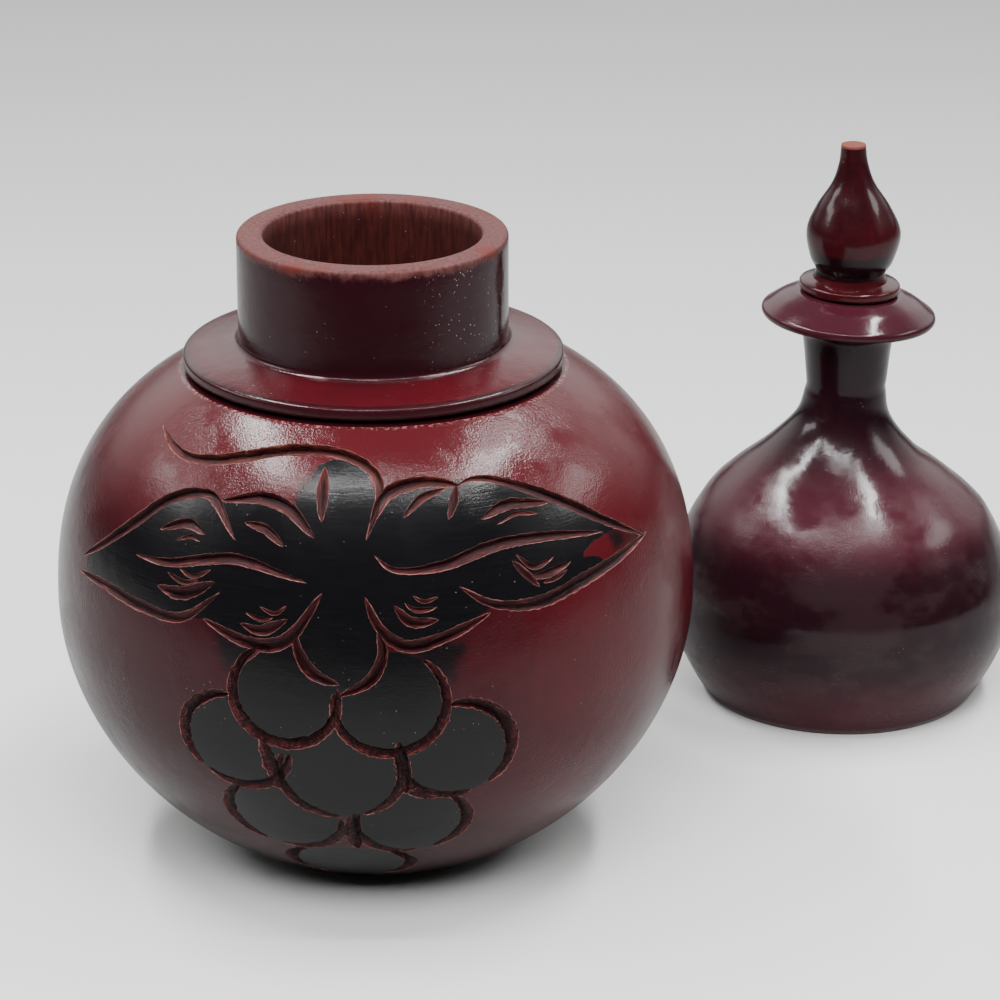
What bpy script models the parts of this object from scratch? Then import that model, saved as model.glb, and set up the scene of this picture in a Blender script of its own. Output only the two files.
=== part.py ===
"""Carved wooden gourd bottle, taken apart into its two halves.

The lower bulb is a round jar with a collar and a spigot. The upper bulb has a
socket that fits over that spigot, a neck with a wide lip, and a stopper. The
halves stand side by side. The front of the lower bulb, which faces -Y, is carved
with a bunch of grapes, two vine leaves, their stem and a tendril.

Units are metres, +Z is up. The origin is the middle of the lower bulb's foot.
"""
from bisect import bisect_left
from math import acos, asin, cos, hypot, pi, radians, sin

import bpy
from mathutils import Vector

MM = 0.001

# Lower bulb: the round body
BELLY_RADIUS = 50.0 * MM
BELLY_HEIGHT = 41.8 * MM        # from the foot to the widest line
FOOT_RADIUS = 19.1 * MM
SHOULDER_HEIGHT = 42.5 * MM     # from the widest line to where the curve would close
SHOULDER_FULLNESS = 2.39        # 2 is an ellipse, more is squarer
BASE_FULLNESS = 1.906
LOWER_WALL = 6.0 * MM
LOWER_FLOOR = 7.0 * MM

# Lower bulb: collar and spigot
COLLAR_RADIUS = 29.5 * MM
COLLAR_THICKNESS = 2.0 * MM
COLLAR_SLOPE = 1.5 * MM         # rise of its top from the rim to the spigot
SHOULDER_LEDGE = 1.8 * MM       # how far the shoulder reaches past the collar
UNDERCUT_WIDTH = 1.5 * MM       # gap between shoulder and collar
UNDERCUT_DEPTH = 2.5 * MM
SPIGOT_RADIUS = 20.9 * MM
SPIGOT_WALL = 4.1 * MM
SPIGOT_HEIGHT = 17.1 * MM
SPIGOT_FILLET = 1.0 * MM
RIM_ROUND = 0.7 * MM

# Upper bulb
HALVES_GAP = 17.9 * MM          # clear space between the standing halves
HALVES_BEARING = radians(36.8)  # direction of the upper bulb, from +X towards +Y
SOCKET_CLEARANCE = 0.25 * MM
SOCKET_LIP = 1.9 * MM           # wall of the upper bulb's standing rim
UPPER_BELLY_RADIUS = 30.0 * MM
UPPER_BELLY_HEIGHT = 18.5 * MM
UPPER_WALL = 5.5 * MM
NECK_RADIUS = 6.7 * MM
NECK_HEIGHT = 55.0 * MM         # the narrowest place of the neck
NECK_BORE = 3.6 * MM            # radius
LIP_RADIUS = 14.7 * MM
LIP_HEIGHT = 67.7 * MM          # the widest line of the lip
LIP_THICKNESS = 1.8 * MM
LIP_CROWN = 3.8 * MM            # rise from the lip's widest line to the seat
SEAT_RADIUS = 8.9 * MM
FLARE_RADIUS = 9.6 * MM         # where the neck runs into the lip's underside

# Stopper
SEAT_GAP = 0.3 * MM
DISC_RADIUS = 8.5 * MM
DISC_THICKNESS = 1.6 * MM
DISC_CROWN = 2.0 * MM
DROP_RADIUS = 7.9 * MM
DROP_HEIGHT = 21.7 * MM
PLUG_CLEARANCE = 0.25 * MM
PLUG_LENGTH = 11.0 * MM

# Carving
GROOVE_STEEPNESS = 0.55         # depth of a groove as a share of its width
GROOVE_LEAN = 0.22              # shift of its bottom towards the steep wall, as a share
CUTTER_LIFT = 0.9 * MM          # how far a cutter stands over the skin
STROKE_PIECES = 2               # pieces between two drawn points
RING_STEP = radians(24)

# Facets of the turned shapes
LOWER_STEPS = 48
UPPER_STEPS = 36
STOPPER_STEPS = 24
HOLLOW_STEPS = 28
BODY_PIECES = 7                 # pieces of each curved half of the lower bulb

# Shapes of free curves, as shares: (share of the height, share of the change in radius)
SHOULDER_SHAPE = [(0, 1), (0.12, 0.975), (0.34, 0.825), (0.46, 0.69), (0.57, 0.5), (0.69, 0.27), (0.85, 0.06),
                  (1, 0)]
DROP_SHAPE = [(1, 0.26), (0.85, 0.31), (0.69, 0.46), (0.5, 0.79), (0.31, 1), (0.11, 0.9), (0, 0.74)]

# The carver's drawing, in millimetres on a skin of this size: across is measured
# round the belly from the front middle to the right, up along the skin from the
# widest line. The shape is fitted to the real skin when that has another size.
DRAWING_BELLY_RADIUS = 50.0
DRAWING_SHOULDER_LENGTH = 42.9
DRAWING_BASE_LENGTH = 53.0

# Each stroke: width in millimetres, side of its steep wall (1 is left of the way
# it is cut, -1 right, 0 neither), and the points it is cut through
TENDRIL = [
    (2.3, 1, [(-53.5, 37.3), (-43, 34.8), (-36, 34.8), (-28, 36.6), (-20, 38.9), (-12, 39.9), (-5, 39.3), (0, 37.4),
              (2.2, 34.8), (2.2, 31.5), (-0.1, 25.4)]),
]
STEM = [
    (1.8, 0, [(-8.6, 37), (-8.3, 33), (-7.8, 28)]),
    (2.0, -1, [(-10.6, 11.5), (-10.2, 8.7), (-7.9, 5.4), (-4, 3.8)]),
    (2.0, 1, [(1.6, 12), (2.4, 8.6), (0.5, 4.6), (-4.2, 2)]),
]
LEFT_LEAF = [
    (2.2, 1, [(-56, 13.2), (-50, 17.3), (-44, 22.3), (-39, 27), (-33, 29.6), (-28.5, 29.2), (-22.3, 23.8)]),
    (2.3, 1, [(-27.3, 29.3), (-20, 30.9), (-14, 29.7), (-8.7, 25.5)]),
    (1.8, 1, [(-41.4, 17.8), (-34, 18.4), (-26, 20.5), (-20, 21.1), (-9.3, 18.9)]),
    (1.9, -1, [(-56.7, 10.8), (-48, 11.3), (-38, 10.7), (-30, 10.9), (-23.3, 16)]),
    (2.2, -1, [(-26, 11.6), (-18, 9.2), (-12, 10.3), (-6.8, 17.6)]),
    (1.7, 1, [(-37.7, 22.7), (-32.5, 24.8), (-28.3, 23.8)]),
    (1.5, 1, [(-21.6, 26.8), (-17.5, 26.2), (-13.7, 23.9)]),
    (2.2, -1, [(-35.3, 14.6), (-30.3, 14.5), (-24.6, 17.3)]),
    (1.7, -1, [(-19.6, 11.9), (-16, 11.3), (-11.9, 13.4)]),
]
RIGHT_LEAF = [
    (2.3, 1, [(0.6, 27.6), (3.4, 32.3), (8, 34.1), (13, 34.2), (18, 33)]),
    (1.3, 1, [(17.3, 33.4), (15.6, 30.2), (14.3, 28)]),
    (1.3, 1, [(6.4, 28.8), (10.2, 31.7), (15, 33)]),
    (2.0, 1, [(16.8, 33), (21, 33.9), (27, 32.5), (36, 28), (44, 22.7), (53, 17.4)]),
    (1.9, 1, [(1.2, 23.3), (4.6, 21), (12, 21.2), (22, 23.3), (32, 22.9), (43, 21)]),
    (2.2, -1, [(14.5, 18), (20, 14.7), (28, 13.8), (38, 15.5), (54, 17.8)]),
    (2.1, 1, [(19.3, 13.6), (12, 10.8), (6, 9.7), (2, 12.6), (-0.2, 17.2)]),
    (1.8, 1, [(20, 27.4), (26, 29), (34, 27.8)]),
    (1.3, 0, [(23.9, 20.6), (28, 15.9)]),
    (1.4, 1, [(26.3, 17.6), (30, 17.6), (34.6, 18.4)]),
    (1.7, -1, [(4.2, 15.9), (6.8, 13.3), (11, 13.4)]),
]

# Each grape: across and up of its middle, half width and half height, and the
# gouged stretches round it: from and to, in degrees from the right, with the width
GRAPES = [
    (-12.4, 1.6, 7.1, 6.9, [(118, 372, 2.2)]),
    (3.4, 0.8, 7.4, 7.3, [(168, 415, 2.1)]),
    (-20.8, -7.6, 7.8, 7.1, [(92, 222, 2.3), (228, 356, 2.0)]),
    (-4.4, -12.0, 8.7, 8.0, [(154, 268, 2.0), (290, 388, 1.8)]),
    (13.5, -8.3, 7.8, 7.4, [(-50, 98, 2.4), (190, 292, 1.9)]),
    (-15.0, -22.7, 9.0, 7.4, [(130, 238, 2.5), (252, 366, 2.0)]),
    (7.3, -23.5, 8.6, 7.2, [(-62, 52, 2.3), (156, 282, 2.1)]),
    (-4.9, -38.0, 12.0, 6.6, [(128, 236, 2.3), (-56, 50, 2.3)]),
]


def superellipse(share, fullness):
    """The other axis's share at this share of one axis."""
    return (1 - min(abs(share), 1) ** fullness) ** (1 / fullness)


def base_depth():
    """From the widest line down to where the lower curve would close."""
    return BELLY_HEIGHT / superellipse(FOOT_RADIUS / BELLY_RADIUS, BASE_FULLNESS)


def shoulder_end():
    """Radius and height where the shoulder stops, under the collar."""
    radius = COLLAR_RADIUS + SHOULDER_LEDGE
    rise = SHOULDER_HEIGHT * superellipse(radius / BELLY_RADIUS, SHOULDER_FULLNESS)
    return radius, BELLY_HEIGHT + rise


def half_curve(radius, height, fullness, reach, pieces):
    """(radius, height from the widest line) from there to a share of the height."""
    last = asin(reach ** (fullness / 2))
    for k in range(pieces + 1):
        angle = last * k / pieces
        yield radius * cos(angle) ** (2 / fullness), height * sin(angle) ** (2 / fullness)


def body_line(pieces):
    """Outer line of the lower bulb, from under the collar down to the foot."""
    reach_up = (shoulder_end()[1] - BELLY_HEIGHT) / SHOULDER_HEIGHT
    reach_down = BELLY_HEIGHT / base_depth()
    upper = list(half_curve(BELLY_RADIUS, SHOULDER_HEIGHT, SHOULDER_FULLNESS, reach_up, pieces))
    lower = list(half_curve(BELLY_RADIUS, base_depth(), BASE_FULLNESS, reach_down, pieces))
    line = [(r, BELLY_HEIGHT + z) for r, z in reversed(upper)]
    return line + [(r, BELLY_HEIGHT - z) for r, z in lower[1:]]


def arc(middle_r, middle_z, size, start, end, pieces=2):
    """Points on a quarter round, by its middle, in degrees from outward, turning up."""
    for k in range(pieces + 1):
        angle = radians(start + (end - start) * k / pieces)
        yield middle_r + size * cos(angle), middle_z + size * sin(angle)


def through(points, pieces):
    """A smooth line through the points: each span is cut into so many pieces."""
    vectors = [Vector(p) for p in points]
    padded = [2 * vectors[0] - vectors[1]] + vectors + [2 * vectors[-1] - vectors[-2]]
    line = []
    for a, b, c, d in zip(padded, padded[1:], padded[2:], padded[3:]):
        for k in range(pieces):
            t = k / pieces
            line.append(0.5 * (2 * b + (c - a) * t + (2 * a - 5 * b + 4 * c - d) * t * t
                               + (3 * b - a - 3 * c + d) * t ** 3))
    return line + [vectors[-1]]


def material(name, colour, roughness):
    """Plain finish of one piece."""
    finish = bpy.data.materials.new(name)
    finish.use_nodes = True
    shader = finish.node_tree.nodes["Principled BSDF"]
    shader.inputs["Base Color"].default_value = (*colour, 1)
    shader.inputs["Roughness"].default_value = roughness
    shader.inputs["Metallic"].default_value = 0
    finish.diffuse_color = (*colour, 1)
    return finish


def collection(name):
    group = bpy.data.collections.new(name)
    bpy.context.scene.collection.children.link(group)
    return group


def turned(name, profile, steps, group):
    """Solid of revolution of a line that runs down its outer side, from axis to axis."""
    mesh = bpy.data.meshes.new(name)
    edges = [(k, k + 1) for k in range(len(profile) - 1)]
    mesh.from_pydata([(r, 0, z) for r, z in profile], edges, [])
    piece = bpy.data.objects.new(name, mesh)
    group.objects.link(piece)
    screw = piece.modifiers.new("Turning", 'SCREW')
    screw.axis = 'Z'
    screw.angle = 2 * pi
    screw.steps = steps
    screw.render_steps = steps
    screw.use_merge_vertices = True
    screw.merge_threshold = 0.00001
    screw.use_smooth_shade = False
    return piece


def as_cutter(piece):
    piece.hide_render = True
    piece.display_type = 'WIRE'


def hollow(piece, cutter):
    """Cut the inside out of a turned piece."""
    as_cutter(cutter)
    cut = piece.modifiers.new("Hollow", 'BOOLEAN')
    cut.operation = 'DIFFERENCE'
    cut.solver = 'EXACT'
    cut.object = cutter


def lower_profile():
    """Outside of the lower bulb, from the top of the spigot to the middle of the foot."""
    ledge_radius, ledge_z = shoulder_end()
    collar_under = ledge_z + UNDERCUT_WIDTH
    rim_top = collar_under + COLLAR_THICKNESS
    collar_top = rim_top + COLLAR_SLOPE
    top = collar_top + SPIGOT_HEIGHT
    fillet_radius = SPIGOT_RADIUS + SPIGOT_FILLET
    line = [(0, top)]
    line += arc(SPIGOT_RADIUS - RIM_ROUND, top - RIM_ROUND, RIM_ROUND, 90, 0)
    line += arc(fillet_radius, collar_top + SPIGOT_FILLET, SPIGOT_FILLET, 180, 270)
    line += arc(COLLAR_RADIUS - RIM_ROUND, rim_top - RIM_ROUND, RIM_ROUND, 80, 0)
    line += arc(COLLAR_RADIUS - RIM_ROUND, collar_under + RIM_ROUND, RIM_ROUND, 0, -90)
    line += [(COLLAR_RADIUS - UNDERCUT_DEPTH, collar_under), (COLLAR_RADIUS - UNDERCUT_DEPTH, ledge_z + RIM_ROUND)]
    line += body_line(BODY_PIECES)
    return line + [(0, 0)]


def lower_hollow_profile():
    """Inside of the lower bulb: the spigot's bore and a round hollow with one wall."""
    bore = SPIGOT_RADIUS - SPIGOT_WALL
    top = spigot_top()
    radius = BELLY_RADIUS - LOWER_WALL
    up = SHOULDER_HEIGHT - LOWER_WALL
    down = base_depth() - LOWER_WALL
    reach_up = superellipse(bore / radius, SHOULDER_FULLNESS)
    reach_down = (BELLY_HEIGHT - LOWER_FLOOR) / down
    upper = list(half_curve(radius, up, SHOULDER_FULLNESS, reach_up, BODY_PIECES - 1))
    lower = list(half_curve(radius, down, BASE_FULLNESS, reach_down, BODY_PIECES - 1))
    line = [(0, top + RIM_ROUND), (bore + RIM_ROUND, top + RIM_ROUND), (bore + RIM_ROUND, top)]
    line += [(bore, top - RIM_ROUND)]
    line += [(r, BELLY_HEIGHT + z) for r, z in reversed(upper)]
    line += [(r, BELLY_HEIGHT - z) for r, z in lower[1:]]
    return line + [(0, LOWER_FLOOR)]


def spigot_top():
    return shoulder_end()[1] + UNDERCUT_WIDTH + COLLAR_THICKNESS + COLLAR_SLOPE + SPIGOT_HEIGHT


class Skin:
    """The lower bulb's outer surface, as the ground that the drawing is laid on."""

    def __init__(self, pieces=120):
        line = body_line(pieces)
        self.line = list(reversed(line))
        lengths = [0]
        for (r0, z0), (r1, z1) in zip(self.line, self.line[1:]):
            lengths.append(lengths[-1] + hypot(r1 - r0, z1 - z0))
        belly = lengths[pieces]
        self.lengths = [s - belly for s in lengths]
        self.up_scale = self.lengths[-1] / DRAWING_SHOULDER_LENGTH
        self.down_scale = -self.lengths[0] / DRAWING_BASE_LENGTH

    def point(self, across, up):
        """Place and outward direction of a drawn point."""
        length = up * (self.up_scale if up > 0 else self.down_scale)
        k = min(max(bisect_left(self.lengths, length), 1), len(self.line) - 1)
        (r0, z0), (r1, z1) = self.line[k - 1], self.line[k]
        span = self.lengths[k] - self.lengths[k - 1]
        t = (length - self.lengths[k - 1]) / span
        radius = r0 + (r1 - r0) * t
        angle = across / DRAWING_BELLY_RADIUS
        outward = Vector((sin(angle), -cos(angle), 0))
        place = outward * radius + Vector((0, 0, z0 + (z1 - z0) * t))
        normal = outward * (z1 - z0) / span + Vector((0, 0, (r0 - r1) / span))
        return place, normal.normalized()

    def shrink(self, up):
        """Real length of one drawn millimetre across, at this height, as a share."""
        place, _ = self.point(0, up)
        return hypot(place.x, place.y) / BELLY_RADIUS


def groove(name, skin, drawn, width, side, group):
    """Cutter with a V section that follows drawn points and runs out at both ends."""
    stations = [skin.point(*point) for point in drawn]
    count = len(stations)
    verts = []
    for k, (place, normal) in enumerate(stations):
        ahead = stations[min(k + 1, count - 1)][0] - stations[max(k - 1, 0)][0]
        left = normal.cross(ahead).normalized()
        share = sin(pi * min(1, max(0, k / (count - 1)))) ** 0.55
        half = width / 2 * share
        depth = width * GROOVE_STEEPNESS * share
        spread = half + CUTTER_LIFT / (2 * GROOVE_STEEPNESS)
        lean = left * (side * GROOVE_LEAN * width * share)
        verts += [place + normal * CUTTER_LIFT + left * spread, place + normal * CUTTER_LIFT - left * spread,
                  place - normal * depth + lean]
    faces = [(0, 2, 1), (3 * count - 3, 3 * count - 2, 3 * count - 1)]
    for k in range(0, 3 * count - 3, 3):
        faces += [(k, k + 1, k + 4, k + 3), (k + 1, k + 2, k + 5, k + 4), (k + 2, k, k + 3, k + 5)]
    mesh = bpy.data.meshes.new(name)
    mesh.from_pydata(verts, [], faces)
    cutter = bpy.data.objects.new(name, mesh)
    group.objects.link(cutter)
    as_cutter(cutter)
    return cutter


def ring_points(skin, across, up, half_width, half_height, start, end, width):
    """Drawn points of a gouged stretch that runs just outside a grape."""
    pieces = max(3, round(radians(end - start) / RING_STEP))
    offset = width / 2
    for k in range(pieces + 1):
        angle = radians(start + (end - start) * k / pieces)
        y = up + (half_height + offset) * sin(angle)
        yield across + (half_width + offset / skin.shrink(y)) * cos(angle), y


def carve(piece, group):
    """Grapes, leaves, stem and tendril, cut into the front of the lower bulb."""
    skin = Skin()
    drawing = [stroke for part in (TENDRIL, STEM, LEFT_LEAF, RIGHT_LEAF) for stroke in part]
    for k, (width, side, points) in enumerate(drawing):
        drawn = through(points, STROKE_PIECES)
        groove("stroke_%02d" % k, skin, drawn, width * MM, side, group)
    for k, (across, up, half_width, half_height, stretches) in enumerate(GRAPES):
        for start, end, width in stretches:
            drawn = list(ring_points(skin, across, up, half_width, half_height, start, end, width))
            groove("grape_%d_from_%d" % (k, start), skin, drawn, width * MM, 1, group)
    cut = piece.modifiers.new("Carving", 'BOOLEAN')
    cut.operation = 'DIFFERENCE'
    cut.solver = 'EXACT'
    cut.operand_type = 'COLLECTION'
    cut.collection = group
    cut.use_self = True


def upper_radius(z):
    """Outer radius of the upper bulb between its rim and the narrow of the neck."""
    rim = SPIGOT_RADIUS + SOCKET_CLEARANCE + SOCKET_LIP
    if z <= UPPER_BELLY_HEIGHT:
        return rim + (UPPER_BELLY_RADIUS - rim) * sin(pi / 2 * max(z, 0) / UPPER_BELLY_HEIGHT) ** 0.9
    share = (z - UPPER_BELLY_HEIGHT) / (NECK_HEIGHT - UPPER_BELLY_HEIGHT)
    line = through(SHOULDER_SHAPE, 6)
    for (h0, f0), (h1, f1) in zip(line, line[1:]):
        if h0 <= share <= h1:
            part = f0 + (f1 - f0) * (share - h0) / (h1 - h0)
            return NECK_RADIUS + (UPPER_BELLY_RADIUS - NECK_RADIUS) * part
    return NECK_RADIUS


def seat_height():
    return LIP_HEIGHT + LIP_CROWN


def upper_profile():
    """Outside of the upper bulb, from the stopper's seat to the middle of its foot."""
    half = LIP_THICKNESS / 2
    under = LIP_HEIGHT - half
    crown_radius = (SEAT_RADIUS + LIP_RADIUS) / 2
    crown_z = LIP_HEIGHT + half + (LIP_CROWN - half) * 0.55
    line = [(0, seat_height()), (SEAT_RADIUS, seat_height()), (crown_radius, crown_z)]
    line += arc(LIP_RADIUS - half, LIP_HEIGHT, half, 60, -90, 4)
    flare = [(FLARE_RADIUS, under - half / 2), (NECK_RADIUS + (FLARE_RADIUS - NECK_RADIUS) * 0.35, under - 3.5 * half),
             (NECK_RADIUS, NECK_HEIGHT)]
    line += [tuple(p) for p in through(flare, 2)][:-1]
    above = [UPPER_BELLY_HEIGHT + (NECK_HEIGHT - UPPER_BELLY_HEIGHT) * k / 10 for k in range(10, 0, -1)]
    below = [UPPER_BELLY_HEIGHT * k / 5 for k in range(5, -1, -1)]
    line += [(upper_radius(z), z) for z in above + below]
    return line + [(0, 0)]


def upper_hollow_profile():
    """Inside of the upper bulb: neck bore, hollow under the shoulder, and socket."""
    socket = SPIGOT_RADIUS + SOCKET_CLEARANCE
    top = seat_height() + MM
    levels = [UPPER_BELLY_HEIGHT + (NECK_HEIGHT - UPPER_BELLY_HEIGHT) * k / 8 for k in range(7, 1, -1)]
    inside = [(min(socket, upper_radius(z + UPPER_WALL / 2) - UPPER_WALL), z) for z in levels]
    wide = [(radius, z) for radius, z in inside if radius > NECK_BORE + MM]
    line = [(0, top), (NECK_BORE, top), (NECK_BORE, wide[0][1] + UPPER_WALL / 2)] + wide
    line += [(socket, levels[-1] - UPPER_WALL / 2), (socket, SPIGOT_FILLET)]
    line += [(socket + SPIGOT_FILLET, 0), (socket + SPIGOT_FILLET, -MM), (0, -MM)]
    return line


def stopper_profile():
    """Drop, small disc and plug, from the tip down."""
    under = seat_height() + SEAT_GAP
    round_edge = DISC_THICKNESS / 3
    drop_foot = under + DISC_THICKNESS + DISC_CROWN
    drop = [(DROP_RADIUS * f, drop_foot + DROP_HEIGHT * h) for h, f in DROP_SHAPE]
    line = [(0, drop[0][1])]
    line += [tuple(p) for p in through(drop, 2)]
    line += arc(DISC_RADIUS - round_edge, under + DISC_THICKNESS - round_edge, round_edge, 70, 0)
    line += arc(DISC_RADIUS - round_edge, under + round_edge, round_edge, 0, -90)
    plug = NECK_BORE - PLUG_CLEARANCE
    end = under - PLUG_LENGTH
    line += [(plug, under), (plug, end + round_edge), (plug - round_edge, end), (0, end)]
    return line


def upper_place():
    distance = BELLY_RADIUS + UPPER_BELLY_RADIUS + HALVES_GAP
    return Vector((distance * cos(HALVES_BEARING), distance * sin(HALVES_BEARING), 0))


def build():
    for old in list(bpy.data.objects):
        bpy.data.objects.remove(old, do_unlink=True)
    parts = collection("carved_gourd_bottle")
    hollows = collection("hollow_cutters")
    carving = collection("carving_cutters")

    lower = turned("lower_bulb", lower_profile(), LOWER_STEPS, parts)
    hollow(lower, turned("lower_hollow", lower_hollow_profile(), HOLLOW_STEPS, hollows))
    carve(lower, carving)
    lower.data.materials.append(material("carved cherry lacquer", (0.10, 0.012, 0.02), 0.25))

    upper = turned("upper_bulb", upper_profile(), UPPER_STEPS, parts)
    upper_hollow = turned("upper_hollow", upper_hollow_profile(), HOLLOW_STEPS, hollows)
    hollow(upper, upper_hollow)
    upper.data.materials.append(material("dark cherry lacquer", (0.07, 0.01, 0.018), 0.22))

    stopper = turned("stopper", stopper_profile(), STOPPER_STEPS, parts)
    stopper.data.materials.append(material("cherry lacquer", (0.12, 0.014, 0.022), 0.22))

    for piece in (upper, upper_hollow, stopper):
        piece.location = upper_place()
    bpy.context.view_layer.update()


build()
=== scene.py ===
# %% [markdown]
# # A carved gourd bottle, taken apart
# The bottle is turned from two blocks of wood. The lower bulb is a jar with a collar and a spigot, the upper bulb is
# a hollow lid in the form of a small flask with its own stopper. Both are coated with a dark cherry lacquer, and then
# a bunch of grapes is cut through the lacquer of the jar and painted black. The frame holds the plain solids. This
# lesson makes their fine surfaces: turned smooth, carved with real cuts, and finished.

# %% The frame
from math import asin, cos, hypot, pi, radians, sin

import bpy
import numpy as np
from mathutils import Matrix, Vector, noise


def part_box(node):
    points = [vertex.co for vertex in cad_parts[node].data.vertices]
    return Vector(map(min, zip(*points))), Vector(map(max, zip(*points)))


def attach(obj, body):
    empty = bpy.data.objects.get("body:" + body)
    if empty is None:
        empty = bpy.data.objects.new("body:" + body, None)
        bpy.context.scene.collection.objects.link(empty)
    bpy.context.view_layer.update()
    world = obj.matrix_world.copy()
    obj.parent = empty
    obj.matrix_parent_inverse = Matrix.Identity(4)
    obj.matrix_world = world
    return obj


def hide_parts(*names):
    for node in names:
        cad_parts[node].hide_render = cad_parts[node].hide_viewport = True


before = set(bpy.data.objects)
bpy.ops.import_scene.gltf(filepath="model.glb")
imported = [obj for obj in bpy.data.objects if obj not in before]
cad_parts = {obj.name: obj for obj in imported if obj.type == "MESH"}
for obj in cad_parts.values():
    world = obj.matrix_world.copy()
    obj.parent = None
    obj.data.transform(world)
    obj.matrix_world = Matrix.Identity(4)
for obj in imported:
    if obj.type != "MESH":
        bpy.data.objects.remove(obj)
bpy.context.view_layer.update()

MM = 0.001

# %% [markdown]
# ## The sizes
# A turner works from a few diameters and heights. They are the same here as in the solids, so each fine piece fills
# its solid exactly. The fullness of a curve says how square it is: 2 is an ellipse, and the shoulder is fuller.

# %% Sizes of the turned pieces
BELLY_RADIUS = 50.0 * MM
BELLY_HEIGHT = 41.8 * MM
FOOT_RADIUS = 19.1 * MM
SHOULDER_HEIGHT = 42.5 * MM
SHOULDER_FULLNESS = 2.39
BASE_FULLNESS = 1.906
LOWER_WALL = 6.0 * MM
LOWER_FLOOR = 7.0 * MM
COLLAR_RADIUS = 29.5 * MM
COLLAR_THICKNESS = 2.0 * MM
COLLAR_SLOPE = 1.5 * MM
SHOULDER_LEDGE = 1.8 * MM
UNDERCUT_WIDTH = 1.5 * MM
UNDERCUT_DEPTH = 2.5 * MM
SPIGOT_RADIUS = 20.9 * MM
SPIGOT_WALL = 4.1 * MM
SPIGOT_HEIGHT = 17.1 * MM
SPIGOT_FILLET = 1.0 * MM
RIM_ROUND = 0.7 * MM

# %% Helpers for curves
def superellipse(share, fullness):
    """The other axis's share at this share of one axis."""
    return (1 - min(abs(share), 1) ** fullness) ** (1 / fullness)


def half_curve(radius, height, fullness, reach, pieces):
    """(radius, height from the widest line), from there to a share of the height."""
    last = asin(reach ** (fullness / 2))
    return [(radius * cos(last * k / pieces) ** (2 / fullness), height * sin(last * k / pieces) ** (2 / fullness))
            for k in range(pieces + 1)]


def arc(middle_r, middle_z, size, start, end, pieces=6):
    """A rounded edge, by its middle, in degrees from outward, turning up."""
    angles = [radians(start + (end - start) * k / pieces) for k in range(pieces + 1)]
    return [(middle_r + size * cos(a), middle_z + size * sin(a)) for a in angles]


def through(points, pieces):
    """A smooth line through the points: each span is cut into so many pieces."""
    vectors = [Vector(p) for p in points]
    padded = [2 * vectors[0] - vectors[1]] + vectors + [2 * vectors[-1] - vectors[-2]]
    line = []
    for a, b, c, d in zip(padded, padded[1:], padded[2:], padded[3:]):
        for t in [k / pieces for k in range(pieces)]:
            line.append(0.5 * (2 * b + (c - a) * t + (2 * a - 5 * b + 4 * c - d) * t * t
                               + (3 * b - a - 3 * c + d) * t ** 3))
    return line + [vectors[-1]]


def spaced(line, step):
    """The same line with its points at even steps of about this length."""
    points = np.array([tuple(p) for p in line])
    lengths = np.concatenate([[0], np.cumsum(np.linalg.norm(np.diff(points, axis=0), axis=1))])
    count = max(2, round(lengths[-1] / step) + 1)
    marks = np.linspace(0, lengths[-1], count)
    return np.stack([np.interp(marks, lengths, points[:, k]) for k in range(points.shape[1])], axis=1)


def way(line):
    """How long the line is so far, in millimetres."""
    return sum(hypot(r1 - r0, z1 - z0) for (r0, z0), (r1, z1) in zip(line, line[1:])) / MM

# %% [markdown]
# ## Turning
# On the lathe a shape is one line that goes round. So each piece starts as a single point, which is extruded along
# the line, and the line is spun round the axis. The points where the line meets the axis, and the seam where the
# spin closes, are merged, and the faces are turned outwards.

# %% Turning a line
def put_tools_down():
    """Leave edit mode and let go of everything."""
    if bpy.context.object and bpy.context.object.mode != 'OBJECT':
        bpy.ops.object.mode_set(mode='OBJECT')
    bpy.ops.object.select_all(action='DESELECT')


def turn(name, line, steps, place=(0, 0)):
    """A solid of revolution of the line, standing at its place."""
    put_tools_down()
    bpy.ops.mesh.primitive_plane_add(size=MM)
    piece = bpy.context.object
    piece.name = name
    bpy.ops.object.mode_set(mode='EDIT')
    bpy.ops.mesh.select_all(action='SELECT')
    bpy.ops.mesh.merge(type='CENTER')
    bpy.ops.transform.translate(value=(line[0][0], 0, line[0][1]))
    for (r0, z0), (r1, z1) in zip(line, line[1:]):
        bpy.ops.mesh.extrude_vertices_move(TRANSFORM_OT_translate={"value": (r1 - r0, 0, z1 - z0)})
    bpy.ops.mesh.select_all(action='SELECT')
    bpy.ops.mesh.spin(steps=steps, angle=2 * pi, center=(0, 0, 0), axis=(0, 0, 1))
    bpy.ops.mesh.select_all(action='SELECT')
    bpy.ops.mesh.remove_doubles(threshold=0.002 * MM)
    bpy.ops.mesh.normals_make_consistent(inside=False)
    bpy.ops.transform.translate(value=(place[0], place[1], 0))
    bpy.ops.object.mode_set(mode='OBJECT')
    bpy.ops.object.shade_smooth_by_angle(angle=radians(35))
    print(name, "has", len(piece.data.polygons), "faces")
    return piece

# %% [markdown]
# ## The jar
# The jar is one line from the middle of its inner floor, up the inside, over the rim of the spigot, down over the
# collar and the undercut below it, round the belly and in under the foot. The belly gets many rings, because the
# carving is cut into it.

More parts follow.
